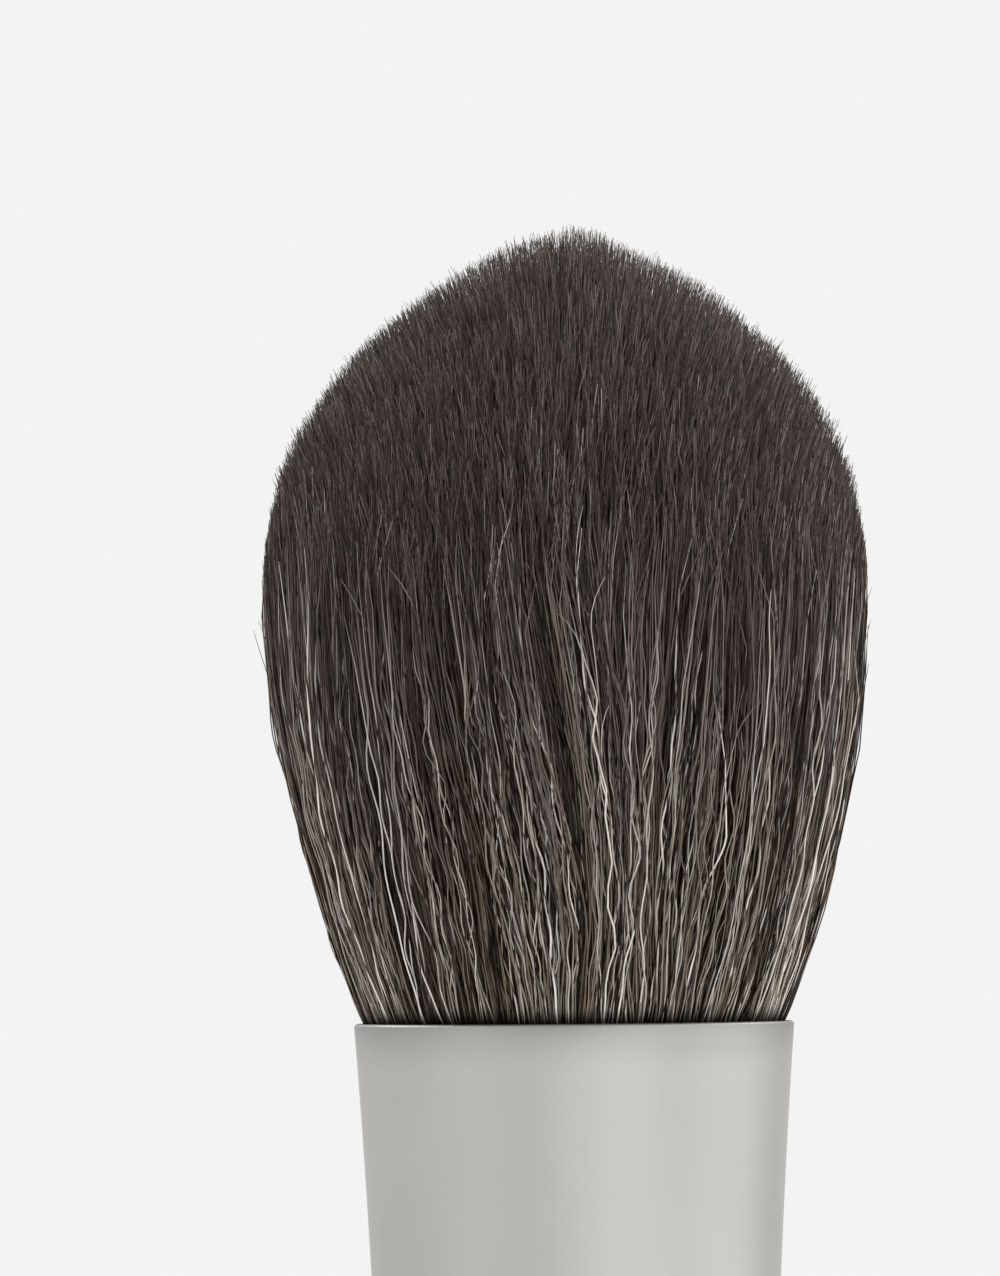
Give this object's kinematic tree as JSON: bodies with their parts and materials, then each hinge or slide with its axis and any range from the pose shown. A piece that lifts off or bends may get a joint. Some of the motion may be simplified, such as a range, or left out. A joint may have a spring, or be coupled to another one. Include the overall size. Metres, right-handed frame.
{
  "type": "powder brush",
  "caption": "Tapered powder brush: a domed tuft of soft filaments bonded in a flared satin metal ferrule on a slim round lacquered handle, for dusting loose powder over skin.",
  "frame": {"origin": "centre of the handle's flat end", "axes": "+Z along the brush, from the handle's flat end to the tip of the tuft; the brush is round, so X and Y have no front"},
  "size_m": [0.034, 0.034, 0.1849],
  "materials": {
    "handle_lacquer": "satin charcoal lacquer over turned wood",
    "ferrule_metal": "satin, faintly warm pale grey",
    "root_resin": "clear amber, as cured",
    "root_thread": "undyed twisted thread",
    "filament": "soft dyed filament, taupe at the root to brown-black at the tip"
  },
  "bodies": {
    "root": {"handle": "handle_lacquer", "ferrule": "ferrule_metal", "resin_plug": "root_resin", "binding_thread": "root_thread", "bristles_core": "filament", "bristles_inner": "filament", "bristles_middle": "filament", "bristles_outer": "filament"}
  },
  "joints": []
}
